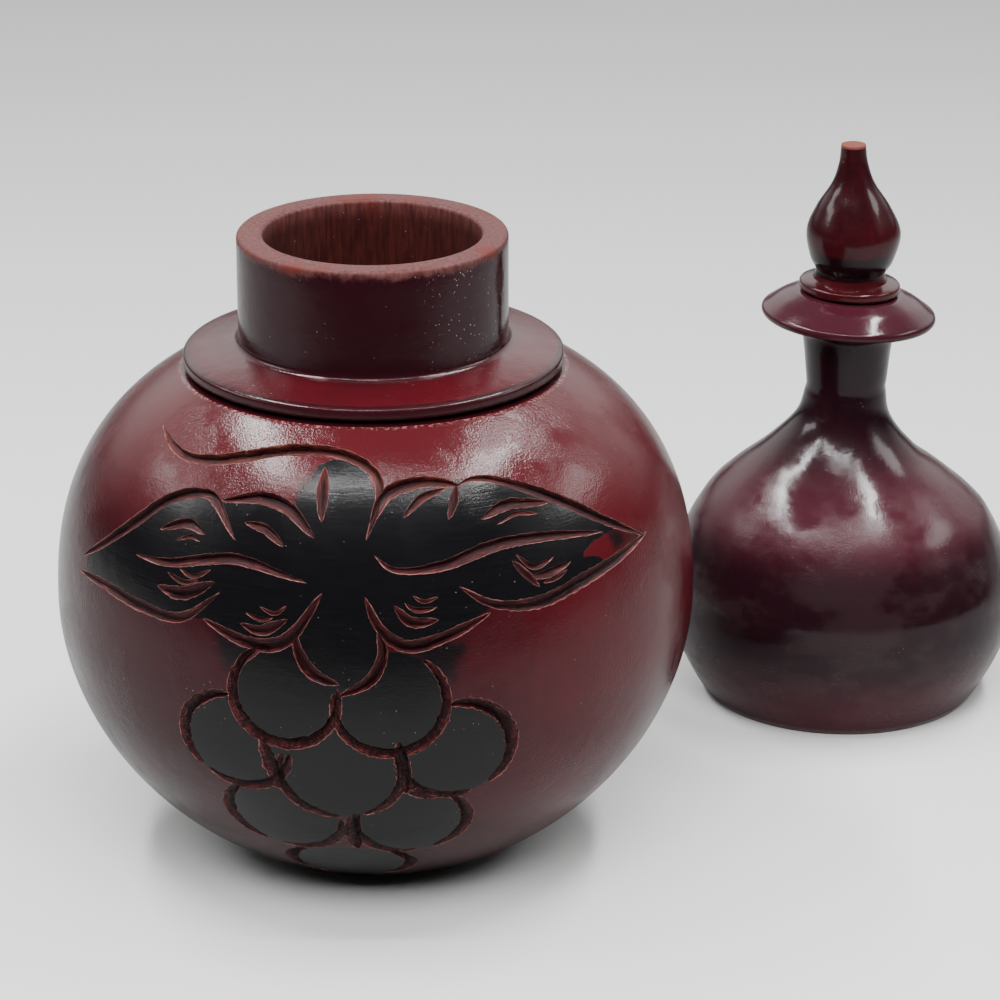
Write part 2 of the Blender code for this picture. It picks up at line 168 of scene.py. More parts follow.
# %% The jar's line
base_depth = BELLY_HEIGHT / superellipse(FOOT_RADIUS / BELLY_RADIUS, BASE_FULLNESS)
ledge_radius = COLLAR_RADIUS + SHOULDER_LEDGE
ledge_rise = SHOULDER_HEIGHT * superellipse(ledge_radius / BELLY_RADIUS, SHOULDER_FULLNESS)
ledge_z = BELLY_HEIGHT + ledge_rise
collar_under = ledge_z + UNDERCUT_WIDTH
rim_top = collar_under + COLLAR_THICKNESS
collar_top = rim_top + COLLAR_SLOPE
jar_top = collar_top + SPIGOT_HEIGHT
edge_radius = COLLAR_RADIUS + 0.4 * MM
edge_rise = SHOULDER_HEIGHT * superellipse(edge_radius / BELLY_RADIUS, SHOULDER_FULLNESS)
edge_z = BELLY_HEIGHT + edge_rise
bore = SPIGOT_RADIUS - SPIGOT_WALL
print("the jar is %.1f mm tall, the solid %.1f mm" % (jar_top / MM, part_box("lower_bulb")[1][2] / MM))


def belly_line(pieces):
    """The outer line of the belly, from the ledge under the collar down to the foot."""
    upper = half_curve(BELLY_RADIUS, SHOULDER_HEIGHT, SHOULDER_FULLNESS, edge_rise / SHOULDER_HEIGHT, pieces)
    lower = half_curve(BELLY_RADIUS, base_depth, BASE_FULLNESS, BELLY_HEIGHT / base_depth, pieces)
    return [(r, BELLY_HEIGHT + z) for r, z in reversed(upper)] + [(r, BELLY_HEIGHT - z) for r, z in lower[1:]]


def inner_line():
    """The inside of the jar, from the middle of its floor up to the bore."""
    radius = BELLY_RADIUS - LOWER_WALL
    up, down = SHOULDER_HEIGHT - LOWER_WALL, base_depth - LOWER_WALL
    upper = half_curve(radius, up, SHOULDER_FULLNESS, superellipse(bore / radius, SHOULDER_FULLNESS), 14)
    lower = half_curve(radius, down, BASE_FULLNESS, (BELLY_HEIGHT - LOWER_FLOOR) / down, 12)
    line = [(r, BELLY_HEIGHT - z) for r, z in reversed(lower)] + [(r, BELLY_HEIGHT + z) for r, z in upper[1:]]
    return [(0, LOWER_FLOOR), (lower[-1][0] / 2, LOWER_FLOOR)] + line


fillet_radius = SPIGOT_RADIUS + SPIGOT_FILLET
undercut_radius = COLLAR_RADIUS - UNDERCUT_DEPTH
BELLY_RINGS = 62

jar_line = inner_line()
jar_line += [(bore, jar_top - 12 * MM), (bore, jar_top - 6 * MM)]
jar_line += arc(bore + RIM_ROUND, jar_top - RIM_ROUND, RIM_ROUND, 180, 90)
jar_line += arc(SPIGOT_RADIUS - RIM_ROUND, jar_top - RIM_ROUND, RIM_ROUND, 90, 0)
jar_line += [(SPIGOT_RADIUS, jar_top - SPIGOT_HEIGHT * k / 5) for k in range(1, 5)]
jar_line += arc(fillet_radius, collar_top + SPIGOT_FILLET, SPIGOT_FILLET, 180, 270)
jar_line += [(fillet_radius + (COLLAR_RADIUS - fillet_radius) * k / 4, collar_top - COLLAR_SLOPE * k / 4)
             for k in range(1, 4)]
RIM_RUN = way(jar_line)
jar_line += arc(COLLAR_RADIUS - RIM_ROUND, rim_top - RIM_ROUND, RIM_ROUND, 80, 0)
jar_line += arc(COLLAR_RADIUS - RIM_ROUND, collar_under + RIM_ROUND, RIM_ROUND, 0, -90)
jar_line += [(undercut_radius + 0.3 * MM, collar_under), (undercut_radius, collar_under - 0.3 * MM)]
jar_line += [(undercut_radius, edge_z + 0.2 * MM), (edge_radius - 0.5 * MM, edge_z + 0.12 * MM)]
LEDGE_RUN = way(jar_line)
jar_line += belly_line(BELLY_RINGS)
jar_line += [(FOOT_RADIUS / 2, 0), (0, 0)]
print("the collar's rim starts %.1f mm along the line, the shoulder %.1f mm" % (RIM_RUN, LEDGE_RUN))

# %% The turned jar
JAR_STEPS = 320
jar = turn("carved_jar", jar_line, JAR_STEPS)

# %% [markdown]
# ## The carver's drawing
# The pattern is a traditional one: a bunch of grapes hangs from a stem between two vine leaves, under a tendril. The
# drawing is laid on the skin like paper: across runs round the belly from the front middle to the right, up runs
# along the skin from the widest line, both in millimetres. A stroke is a width, the side of its steep wall, and the
# points that the tool passes through.

# %% The strokes
TENDRIL = [
    (2.3, 1, [(-53.5, 37.3), (-43, 34.8), (-36, 34.8), (-28, 36.6), (-20, 38.9), (-12, 39.9), (-5, 39.3), (0, 37.4),
              (2.2, 34.8), (2.2, 31.5), (-0.1, 25.4)]),
]
STEM = [
    (1.8, 0, [(-8.6, 37), (-8.3, 33), (-7.8, 28)]),
    (2.0, -1, [(-10.6, 11.5), (-10.2, 8.7), (-7.9, 5.4), (-4, 3.8)]),
    (2.0, 1, [(1.6, 12), (2.4, 8.6), (0.5, 4.6), (-4.2, 2)]),
]
LEFT_LEAF = [
    (2.2, 1, [(-56, 13.2), (-50, 17.3), (-44, 22.3), (-39, 27), (-33, 29.6), (-28.5, 29.2), (-22.3, 23.8)]),
    (2.3, 1, [(-27.3, 29.3), (-20, 30.9), (-14, 29.7), (-8.7, 25.5)]),
    (1.8, 1, [(-41.4, 17.8), (-34, 18.4), (-26, 20.5), (-20, 21.1), (-9.3, 18.9)]),
    (1.9, -1, [(-56.7, 10.8), (-48, 11.3), (-38, 10.7), (-30, 10.9), (-23.3, 16)]),
    (2.2, -1, [(-26, 11.6), (-18, 9.2), (-12, 10.3), (-6.8, 17.6)]),
    (1.7, 1, [(-37.7, 22.7), (-32.5, 24.8), (-28.3, 23.8)]),
    (1.5, 1, [(-21.6, 26.8), (-17.5, 26.2), (-13.7, 23.9)]),
    (2.2, -1, [(-35.3, 14.6), (-30.3, 14.5), (-24.6, 17.3)]),
    (1.7, -1, [(-19.6, 11.9), (-16, 11.3), (-11.9, 13.4)]),
    (0.9, -1, [(-33.8, 17.0), (-30.4, 16.2), (-27.6, 17.0)]),
    (0.8, 1, [(-31.6, 18.0), (-28.6, 17.4), (-25.6, 19.0)]),
    (0.8, 1, [(-18.8, 13.6), (-16.2, 12.9), (-14.2, 13.4)]),
    (0.7, -1, [(-16.6, 14.8), (-14.0, 14.0), (-12.2, 15.4)]),
    (0.7, 1, [(-33.6, 21.9), (-31.0, 23.0), (-28.8, 22.6)]),
]
RIGHT_LEAF = [
    (2.3, 1, [(0.6, 27.6), (3.4, 32.3), (8, 34.1), (13, 34.2), (18, 33)]),
    (1.3, 1, [(17.3, 33.4), (15.6, 30.2), (14.3, 28)]),
    (1.3, 1, [(6.4, 28.8), (10.2, 31.7), (15, 33)]),
    (2.0, 1, [(16.8, 33), (21, 33.9), (27, 32.5), (36, 28), (44, 22.7), (53, 17.4)]),
    (1.9, 1, [(1.2, 23.3), (4.6, 21), (12, 21.2), (22, 23.3), (32, 22.9), (43, 21)]),
    (2.2, -1, [(14.5, 18), (20, 14.7), (28, 13.8), (38, 15.5), (54, 17.8)]),
    (2.1, 1, [(19.3, 13.6), (12, 10.8), (6, 9.7), (2, 12.6), (-0.2, 17.2)]),
    (1.8, 1, [(20, 27.4), (26, 29), (34, 27.8)]),
    (1.3, 0, [(23.9, 20.6), (28, 15.9)]),
    (1.4, 1, [(26.3, 17.6), (30, 17.6), (34.6, 18.4)]),
    (1.7, -1, [(4.2, 15.9), (6.8, 13.3), (11, 13.4)]),
    (0.9, 1, [(5.8, 16.2), (7.6, 15.0), (10.8, 15.2)]),
    (0.7, -1, [(7.2, 17.2), (8.8, 16.2), (11.2, 16.8)]),
    (0.9, 1, [(24.8, 21.4), (27.6, 19.0), (31.6, 19.8)]),
    (0.7, -1, [(28.6, 16.4), (31.0, 16.6), (33.6, 17.4)]),
    (0.8, 1, [(22.6, 26.2), (26.6, 27.3), (31.2, 26.6)]),
]

# %% The grapes
# Across and up of the middle, half width and half height, and the gouged stretches round it: from and to, in
# degrees from the right, with the width.
GRAPES = [
    (-12.4, 1.6, 7.1, 6.9, [(118, 372, 2.2)]),
    (3.4, 0.8, 7.4, 7.3, [(168, 415, 2.1)]),
    (-20.8, -7.6, 7.8, 7.1, [(92, 222, 2.3), (228, 356, 2.0)]),
    (-4.4, -12.0, 8.7, 8.0, [(154, 268, 2.0), (290, 388, 1.8)]),
    (13.5, -8.3, 7.8, 7.4, [(-50, 98, 2.4), (190, 292, 1.9)]),
    (-15.0, -22.7, 9.0, 7.4, [(130, 238, 2.5), (252, 366, 2.0)]),
    (7.3, -23.5, 8.6, 7.2, [(-62, 52, 2.3), (156, 282, 2.1)]),
    (-4.9, -38.0, 12.0, 6.6, [(128, 236, 2.3), (-56, 50, 2.3)]),
]

# Raw places where three grapes meet: the gouge went over them more than once.
RAW = [
    (2.6, [(-16.4, -5.6), (-15.4, -10), (-14.2, -15.8)]),
    (2.6, [(4.6, -5.4), (5.3, -10), (6.0, -15.8)]),
    (2.8, [(-2.7, -20.0), (-3.2, -25), (-2.6, -31)]),
    (1.6, [(-20.4, 3.6), (-18.6, 6.8), (-15.6, 8.8)]),
    (1.6, [(-18.4, -15.4), (-16.0, -14.4), (-12.4, -15.2)]),
    (1.6, [(6.2, -15.6), (9.4, -16.4), (13.2, -16.6)]),
]

# %% The skin that the drawing is laid on
SKIN_PIECES = 400
skin_line = np.array(belly_line(SKIN_PIECES))[::-1]
skin_length = np.concatenate([[0], np.cumsum(np.linalg.norm(np.diff(skin_line, axis=0), axis=1))])
skin_length -= skin_length[SKIN_PIECES]
skin_above, skin_below = skin_length[-1] / MM, -skin_length[0] / MM
print("the skin is %.1f mm long above the widest line and %.1f mm below" % (skin_above, skin_below))


def on_skin(across, up):
    """Places and outward directions of drawn points."""
    across, up = np.asarray(across, float) * MM, np.asarray(up, float) * MM
    radius = np.interp(up, skin_length, skin_line[:, 0])
    height = np.interp(up, skin_length, skin_line[:, 1])
    small = 0.1 * MM
    slope_r = np.interp(up + small, skin_length, skin_line[:, 0]) - np.interp(up - small, skin_length, skin_line[:, 0])
    slope_z = np.interp(up + small, skin_length, skin_line[:, 1]) - np.interp(up - small, skin_length, skin_line[:, 1])
    size = np.hypot(slope_r, slope_z)
    angle = across / BELLY_RADIUS
    place = np.stack([radius * np.sin(angle), -radius * np.cos(angle), height], axis=-1)
    normal = np.stack([slope_z * np.sin(angle), -slope_z * np.cos(angle), -slope_r], axis=-1) / size[..., None]
    return place, normal


def ring_points(across, up, half_width, half_height, start, end, width):
    """Drawn points of a gouged stretch that runs just outside a grape."""
    angles = np.radians(np.linspace(start, end, max(4, round((end - start) / 6))))
    y = up + (half_height + width / 2) * np.sin(angles)
    shrink = np.interp(y * MM, skin_length, skin_line[:, 0]) / BELLY_RADIUS
    return np.stack([across + (half_width + width / 2 / shrink) * np.cos(angles), y], axis=1)

# %% [markdown]
# ## Cutting
# A carver works with two tools here. A V tool makes the clean cuts of the leaves: a steep wall on one side, a slope
# on the other, running out to a point at both ends. A gouge digs the trenches round the grapes and leaves them
# rough. Each cut is made as a sheet that is rolled into a long wedge and subtracted, as a cutter is in a drawing
# program. The sheet has a row every half millimetre, so the wedge follows the curve and can shake like a hand.

# %% One wedge
LIFT = 0.35 * MM
STEP = 0.5 * MM
CHAMFER = 0.1 * MM
SECTION = [-1, -0.9, -0.74, -0.56, -0.38, -0.2, 0.0, 0.2, 0.38, 0.5, 0.62, 0.76, 0.9, 1]
tracks = []


def wedge(name, drawn, width, side, rough, steepness, ends):
    """A cutter that follows drawn points: rough is how far its walls and edges stray."""
    place, normal = on_skin(drawn[:, 0], drawn[:, 1])
    track = spaced(place, STEP)
    share = np.linspace(0, 1, len(track))
    length = np.concatenate([[0], np.cumsum(np.linalg.norm(np.diff(place, axis=0), axis=1))])
    at = length / length[-1]
    normal = np.stack([np.interp(share, at, normal[:, k]) for k in range(3)], axis=1)
    normal /= np.linalg.norm(normal, axis=1)[:, None]
    ahead = np.gradient(track, axis=0)
    left = np.cross(normal, ahead)
    left /= np.linalg.norm(left, axis=1)[:, None]
    swell = np.sin(pi * np.clip(share, 0, 1)) ** ends
    seed = float(drawn[0, 0] * 3.1 + drawn[0, 1] * 1.7)
    bottom = side * 0.5
    rows = []
    for k in range(len(track)):
        run = k * STEP / MM
        half = width / 2 * swell[k] * (1 + 0.14 * noise.noise((run * 0.3, seed, 0)))
        depth = width * steepness * swell[k] * (1 + 0.2 * noise.noise((run * 0.22, seed, 3)))
        ragged = [1 + rough * 1.3 * noise.noise((run * 1.7, seed, 5 + x)) for x in (-1, 1)]
        row = []
        for x in SECTION:
            slope = (x + 0.9) / (bottom + 0.9) if x < bottom else (0.9 - x) / (0.9 - bottom)
            shallow = CHAMFER * swell[k]
            deep = shallow * min(1, (1 - abs(x)) * 10) + (depth - shallow) * max(0, min(slope, 1))
            coarse, fine = noise.noise((run * 1.6, seed, x * 1.5)), noise.noise((run * 0.25, seed, x * 6))
            shake = depth * (rough * coarse + 0.05 * fine)
            reach = x * half * ragged[x > 0]
            row.append(track[k] + left[k] * reach - normal[k] * (deep + shake * min(1, max(0, slope) * 2)))
        spread = half + LIFT / (1.3 * steepness)
        row.insert(0, track[k] - left[k] * spread * ragged[0] + normal[k] * LIFT)
        row.append(track[k] + left[k] * spread * ragged[1] + normal[k] * LIFT)
        rows.append(row)
    run = np.arange(len(track)) * STEP / MM + seed * 10
    flat = np.stack([np.interp(share, at, drawn[:, 0]), np.interp(share, at, drawn[:, 1])], axis=1)
    tracks.append(np.column_stack([flat, np.gradient(flat, axis=0), run, np.full(len(run), float(rough > 0.2))]))
    return roll(name, np.array(rows))


def roll(name, rows):
    """Lay a sheet along the rows, and close it into a wedge."""
    count, across = rows.shape[:2]
    put_tools_down()
    bpy.ops.mesh.primitive_grid_add(x_subdivisions=across, y_subdivisions=count - 1, size=MM)
    cutter = bpy.context.object
    cutter.name = name
    places = np.concatenate([rows, rows[:, :1]], axis=1)
    cutter.data.vertices.foreach_set("co", places.reshape(-1))
    cutter.data.update()
    bpy.ops.object.mode_set(mode='EDIT')
    bpy.ops.mesh.select_all(action='SELECT')
    bpy.ops.mesh.remove_doubles(threshold=0.0005 * MM)
    bpy.ops.mesh.fill_holes(sides=0)
    bpy.ops.mesh.normals_make_consistent(inside=False)
    bpy.ops.object.mode_set(mode='OBJECT')
    return cutter

# %% All the wedges
# Each tool has how rough it cuts, how steep, and how quickly its ends run out.
V_TOOL = (0.14, 0.48, 0.6)
GOUGE = (0.24, 0.5, 0.35)
RAW_GOUGE = (0.3, 0.42, 0.5)
DRAWN_STEP = 0.6
cutters = []
for part, strokes in (("tendril", TENDRIL), ("stem", STEM), ("left_leaf", LEFT_LEAF), ("right_leaf", RIGHT_LEAF)):
    for k, (width, side, points) in enumerate(strokes):
        drawn = spaced(through(points, 8), DRAWN_STEP)
        cutters.append(wedge("%s_cut_%d" % (part, k), drawn, width * MM, side, *V_TOOL))
for k, (across, up, half_width, half_height, stretches) in enumerate(GRAPES):
    for start, end, width in stretches:
        drawn = ring_points(across, up, half_width, half_height, start, end, width)
        cutters.append(wedge("grape_%d_cut_%d" % (k, start), drawn, width * MM, 1, *GOUGE))
for k, (width, points) in enumerate(RAW):
    drawn = spaced(through(points, 8), DRAWN_STEP)
    cutters.append(wedge("raw_cut_%d" % k, drawn, width * MM, 1, *RAW_GOUGE))
print(len(cutters), "wedges")

# %% The cuts
shelf = bpy.data.collections.new("wedges")
bpy.context.scene.collection.children.link(shelf)
for cutter in cutters:
    bpy.context.collection.objects.unlink(cutter)
    shelf.objects.link(cutter)
put_tools_down()
jar.select_set(True)
bpy.context.view_layer.objects.active = jar
cutting = jar.modifiers.new("Carving", 'BOOLEAN')
cutting.operation = 'DIFFERENCE'
cutting.solver = 'MANIFOLD'
cutting.operand_type = 'COLLECTION'
cutting.collection = shelf
bpy.ops.object.modifier_apply(modifier=cutting.name)
for cutter in cutters:
    bpy.data.objects.remove(cutter, do_unlink=True)
bpy.data.collections.remove(shelf)
bpy.ops.object.shade_smooth_by_angle(angle=radians(30))
print("the carved jar has", len(jar.data.polygons), "faces")
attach(jar, "root")
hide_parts("lower_bulb")

# %% [markdown]
# ## The upper bulb
# The lid of the jar is a small flask: a standing rim that fits over the spigot, a round belly, a slim neck and a wide
# lip that is thin at its edge. It is open from below and bored through, so its line closes on itself and never
# meets the axis.

# %% Sizes of the upper pieces
HALVES_GAP = 17.9 * MM
HALVES_BEARING = radians(36.8)
SOCKET_CLEARANCE = 0.25 * MM
SOCKET_LIP = 1.9 * MM
UPPER_BELLY_RADIUS = 30.0 * MM
UPPER_BELLY_HEIGHT = 18.5 * MM
UPPER_WALL = 5.5 * MM
NECK_RADIUS = 6.7 * MM
NECK_HEIGHT = 55.0 * MM
NECK_BORE = 3.6 * MM
LIP_RADIUS = 14.7 * MM
LIP_HEIGHT = 67.7 * MM
LIP_THICKNESS = 1.8 * MM
LIP_CROWN = 3.8 * MM
SEAT_RADIUS = 8.9 * MM
FLARE_RADIUS = 9.6 * MM
SEAT_GAP = 0.3 * MM
DISC_RADIUS = 8.5 * MM
DISC_THICKNESS = 1.6 * MM
DISC_CROWN = 2.0 * MM
DROP_RADIUS = 7.9 * MM
DROP_HEIGHT = 21.7 * MM
PLUG_CLEARANCE = 0.25 * MM
PLUG_LENGTH = 11.0 * MM
SHOULDER_SHAPE = [(0, 1), (0.12, 0.975), (0.34, 0.825), (0.46, 0.69), (0.57, 0.5), (0.69, 0.27), (0.85, 0.06),
                  (1, 0)]
DROP_SHAPE = [(1, 0.26), (0.85, 0.31), (0.69, 0.46), (0.5, 0.79), (0.31, 1), (0.11, 0.9), (0, 0.74)]

distance = BELLY_RADIUS + UPPER_BELLY_RADIUS + HALVES_GAP
upper_place = (distance * cos(HALVES_BEARING), distance * sin(HALVES_BEARING))
seat_height = LIP_HEIGHT + LIP_CROWN

# %% The upper bulb's line
shoulder_curve = np.array([tuple(p) for p in through([(h, f, 0) for h, f in SHOULDER_SHAPE], 16)])


def upper_radius(z):
    """Outer radius of the upper bulb between its rim and the narrow of the neck."""
    rim = SPIGOT_RADIUS + SOCKET_CLEARANCE + SOCKET_LIP
    if z <= UPPER_BELLY_HEIGHT:
        return rim + (UPPER_BELLY_RADIUS - rim) * sin(pi / 2 * max(z, 0) / UPPER_BELLY_HEIGHT) ** 0.9
    share = (z - UPPER_BELLY_HEIGHT) / (NECK_HEIGHT - UPPER_BELLY_HEIGHT)
    return NECK_RADIUS + (UPPER_BELLY_RADIUS - NECK_RADIUS) * np.interp(share, shoulder_curve[:, 0],
                                                                       shoulder_curve[:, 1])


half = LIP_THICKNESS / 2
under = LIP_HEIGHT - half
crown = [(SEAT_RADIUS, seat_height), ((SEAT_RADIUS + LIP_RADIUS) / 2, LIP_HEIGHT + half + (LIP_CROWN - half) * 0.55),
         (LIP_RADIUS - half * 0.5, LIP_HEIGHT + half * 0.87)]
flare = [(FLARE_RADIUS, under - half / 2), (NECK_RADIUS + (FLARE_RADIUS - NECK_RADIUS) * 0.35, under - 3.5 * half),
         (NECK_RADIUS, NECK_HEIGHT)]
above = np.linspace(NECK_HEIGHT, UPPER_BELLY_HEIGHT, 46)[1:]
below = np.linspace(UPPER_BELLY_HEIGHT, 0, 28)[1:]
socket = SPIGOT_RADIUS + SOCKET_CLEARANCE
levels = [UPPER_BELLY_HEIGHT + (NECK_HEIGHT - UPPER_BELLY_HEIGHT) * k / 8 for k in range(7, 1, -1)]
inside = [(min(socket, upper_radius(z + UPPER_WALL / 2) - UPPER_WALL), z) for z in levels]
wide = [(r, z) for r, z in inside if r > NECK_BORE + MM]
upper_line = [(NECK_BORE, seat_height)]
upper_line += [tuple(p)[:2] for p in through([(r, z, 0) for r, z in crown], 6)]
upper_line += arc(LIP_RADIUS - half, LIP_HEIGHT, half, 50, -90, 10)
upper_line += [tuple(p)[:2] for p in through([(r, z, 0) for r, z in flare], 10)]
upper_line += [(upper_radius(z), z) for z in np.concatenate([above, below])]
upper_line += [(socket + SPIGOT_FILLET, 0), (socket, SPIGOT_FILLET), (socket, levels[-1] - UPPER_WALL / 2)]
upper_line += list(reversed(wide))
upper_line += [(NECK_BORE, wide[0][1] + UPPER_WALL / 2), (NECK_BORE, seat_height)]

# %% The turned upper bulb
upper = turn("flask_lid", upper_line, 256, upper_place)
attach(upper, "root")
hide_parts("upper_bulb")

# %% [markdown]
# ## The stopper
# The stopper is a drop on a small round disc, with a plug below that sits in the neck. It is turned from one piece, so
# it is one line too: down the drop, in at its waist, over the disc and down the plug.

# %% The turned stopper
disc_under = seat_height + SEAT_GAP
disc_top = disc_under + DISC_THICKNESS
edge = DISC_THICKNESS / 3
drop_foot = disc_top + DISC_CROWN
drop = [(DROP_RADIUS * f, drop_foot + DROP_HEIGHT * h, 0) for h, f in DROP_SHAPE]
plug = NECK_BORE - PLUG_CLEARANCE
end = disc_under - PLUG_LENGTH
stopper_line = [(0, drop[0][1]), (drop[0][0] - 0.3 * MM, drop[0][1])]
stopper_line += [tuple(p)[:2] for p in through(drop, 8)]
waist = drop[-1][0]
stopper_line += [(waist + 0.1 * MM, drop_foot - 0.9 * MM), (waist + 0.4 * MM, drop_foot - 1.6 * MM)]
stopper_line += [(DISC_RADIUS - edge * 2, disc_top + 0.25 * edge)]
stopper_line += arc(DISC_RADIUS - edge, disc_top - edge, edge, 70, 0)
stopper_line += arc(DISC_RADIUS - edge, disc_under + edge, edge, 0, -90)
stopper_line += [(plug, disc_under), (plug, end + edge), (plug - edge, end), (0, end)]
stopper = turn("drop_stopper", stopper_line, 160, upper_place)
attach(stopper, "root")
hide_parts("stopper")

# %% [markdown]
# ## Wood moves
# The flask has not stayed true. Its shoulder swells a little to the left, the lip and the stopper's disc hang a few
# degrees to the right, and the drop is fuller on its right. One gentle warp moves both pieces, so they still fit.

# %% The warp
WARP_HEIGHTS = [0, 24, 33, 37, 42, 46, 50, 56, 61, 66, 75, 78, 82, 87, 98]
WARP_SHIFTS = [0, 0, -0.1, -0.8, -1.2, -0.9, -0.4, 0, 0, 0, 0.1, 0.3, 0.5, 0.3, 0]
WARP_TILTS = [0, 0, 0, 0, 0, 0, 0, 0, 0.8, 3, 3, 2, 1, 0, 0]


def warp(piece):
    """Shift each level of the piece sideways, and tilt it."""
    points = np.empty(len(piece.data.vertices) * 3)
    piece.data.vertices.foreach_get("co", points)
    points = points.reshape(-1, 3)
    level = points[:, 2] / MM
    tilt = np.radians(np.interp(level, WARP_HEIGHTS, WARP_TILTS))
    swell = 1 + 0.012 * np.exp(-((level - 42) / 6) ** 2)
    side = (points[:, 0] - upper_place[0]) * swell
    points[:, 2] -= side * np.tan(tilt)
    points[:, 0] = upper_place[0] + side + np.interp(level, WARP_HEIGHTS, WARP_SHIFTS) * MM
    piece.data.vertices.foreach_set("co", points.reshape(-1))
    piece.data.update()


# %% [markdown]
# ## Where each point lies
# The finish follows the lathe and the knife, so every piece keeps a few measures for its material to read. Turning
# holds the direction from the axis and the way along the turned line. On the jar, cut is how deep the knife went
# below the skin, paint is how far a point lies inside the black painted areas, and bare is how far it lies inside
# the unfinished wood. The last ones are in millimetres.

# %% Measures along a turned line
def keep(piece, name, values):
    """Keep one value or one vector for each point of the piece."""
    kind = 'FLOAT' if values.ndim == 1 else 'FLOAT_VECTOR'
    layer = piece.data.attributes.new(name, kind, 'POINT')
    layer.data.foreach_set("value" if kind == 'FLOAT' else "vector", values.astype(np.float32).reshape(-1))


def places_of(piece, place=(0, 0)):
    """Places of the points from the piece's axis, and their distances from it."""
    points = np.empty(len(piece.data.vertices) * 3)
    piece.data.vertices.foreach_get("co", points)
    points = points.reshape(-1, 3) - np.array([place[0], place[1], 0])
    return points, np.hypot(points[:, 0], points[:, 1])


def keep_turning(piece, line, place=(0, 0)):
    """Keep the direction from the axis and the way along the line."""
    points, radius = places_of(piece, place)
    fine = spaced(line, 0.4 * MM)
    run = np.concatenate([[0], np.cumsum(np.linalg.norm(np.diff(fine, axis=0), axis=1))]) / MM
    ahead = np.gradient(fine, axis=0)
    ahead /= np.linalg.norm(ahead, axis=1)[:, None] + 1e-12
    along = np.empty(len(points))
    for start in range(0, len(points), 4000):
        part = slice(start, start + 4000)
        gap_r = radius[part, None] - fine[None, :, 0]
        gap_z = points[part, 2, None] - fine[None, :, 1]
        nearest = (gap_r ** 2 + gap_z ** 2).argmin(axis=1)
        rows = np.arange(len(nearest))
        along[part] = run[nearest] + (gap_r[rows, nearest] * ahead[nearest, 0]
                                      + gap_z[rows, nearest] * ahead[nearest, 1]) / MM
    safe = np.maximum(radius, 0.01 * MM)
    keep(piece, "turning", np.stack([points[:, 0] / safe, points[:, 1] / safe, along], axis=1))


keep_turning(jar, jar_line)
keep_turning(upper, upper_line, upper_place)
keep_turning(stopper, stopper_line, upper_place)
warp(upper)
warp(stopper)
print("measures kept on", ", ".join(piece.name for piece in (jar, upper, stopper)))

# %% Measures of the carving
def drawn_places(points, radius):
    """Across, up and depth below the skin of points of the belly, all in millimetres."""
    turn_angle = np.arctan2(skin_line[:, 1] - BELLY_HEIGHT, skin_line[:, 0])
    angle = np.arctan2(points[:, 2] - BELLY_HEIGHT, radius)
    up = np.interp(angle, turn_angle, skin_length)
    small = 0.05 * MM
    for again in range(3):
        r = np.interp(up, skin_length, skin_line[:, 0])
        z = np.interp(up, skin_length, skin_line[:, 1])
        along_r = np.interp(up + small, skin_length, skin_line[:, 0]) - np.interp(up - small, skin_length,
                                                                                  skin_line[:, 0])
        along_z = np.interp(up + small, skin_length, skin_line[:, 1]) - np.interp(up - small, skin_length,
                                                                                  skin_line[:, 1])
        size = np.hypot(along_r, along_z) + 1e-12
        along_r, along_z = along_r / size, along_z / size
        depth = -((radius - r) * along_z - (points[:, 2] - z) * along_r)
        up = up + (radius - r) * along_r + (points[:, 2] - z) * along_z
    across = np.arctan2(points[:, 0], -points[:, 1]) * BELLY_RADIUS
    return across / MM, up / MM, depth / MM


def inside_shape(across, up, corners):
    """How far drawn points lie inside a closed shape: less than nothing outside it."""
    corners = np.array(corners, float)
    nearest = np.full(len(across), 1e9)
    inside = np.zeros(len(across), bool)
    for (x0, y0), (x1, y1) in zip(corners, np.roll(corners, -1, axis=0)):
        length = (x1 - x0) ** 2 + (y1 - y0) ** 2 + 1e-12
        share = np.clip(((across - x0) * (x1 - x0) + (up - y0) * (y1 - y0)) / length, 0, 1)
        nearest = np.minimum(nearest, np.hypot(across - x0 - share * (x1 - x0), up - y0 - share * (y1 - y0)))
        if y0 != y1:
            crosses = ((y0 > up) != (y1 > up)) & (across < (x1 - x0) * (up - y0) / (y1 - y0) + x0)
            inside ^= crosses
    return np.where(inside, nearest, -nearest)


PAINTED = [
    [(-54, 14.5), (-50, 17.1), (-44, 22.3), (-39, 27), (-33, 29.6), (-27.5, 29.3), (-20, 30.9), (-14, 30), (-11, 33),
     (-10.4, 37), (-7.5, 38.4), (-3, 38.2), (0, 36.2), (1.6, 33), (3.4, 32.3), (8, 34.1), (13, 34.2), (21, 33.9),
     (27, 32.5), (36, 28), (44, 22.7), (46.5, 21), (47, 17), (38, 15.5), (28, 13.8), (20, 14.7), (12, 10.8),
     (6, 9.7), (2, 12.6), (2.4, 8.6), (0.5, 4.6), (-4.2, 3), (-7.9, 5.4), (-10.2, 8.7), (-10.6, 11.5),
     (-12, 10.3), (-18, 9.2), (-26, 11.6), (-38, 10.7), (-49, 11.3), (-54, 11.2)],
]
HAZY = [
    [(-25, 11), (-18, 9.5), (-15, 5), (-19, 3), (-22, 5)],
    [(6, 9.5), (12, 11), (15, 9), (13, 4), (9, 5)],
    [(-14, 30), (-13, 34), (-10, 37), (-8, 34), (-10, 29)],
    [(44, 21.5), (49, 19.5), (53, 18), (48, 17.4), (44, 17)],
    [(-12, -8), (-8, -6), (-12, -17), (-18, -16)],
    [(4, -6), (6, -10), (9, -17), (3, -18)],
]
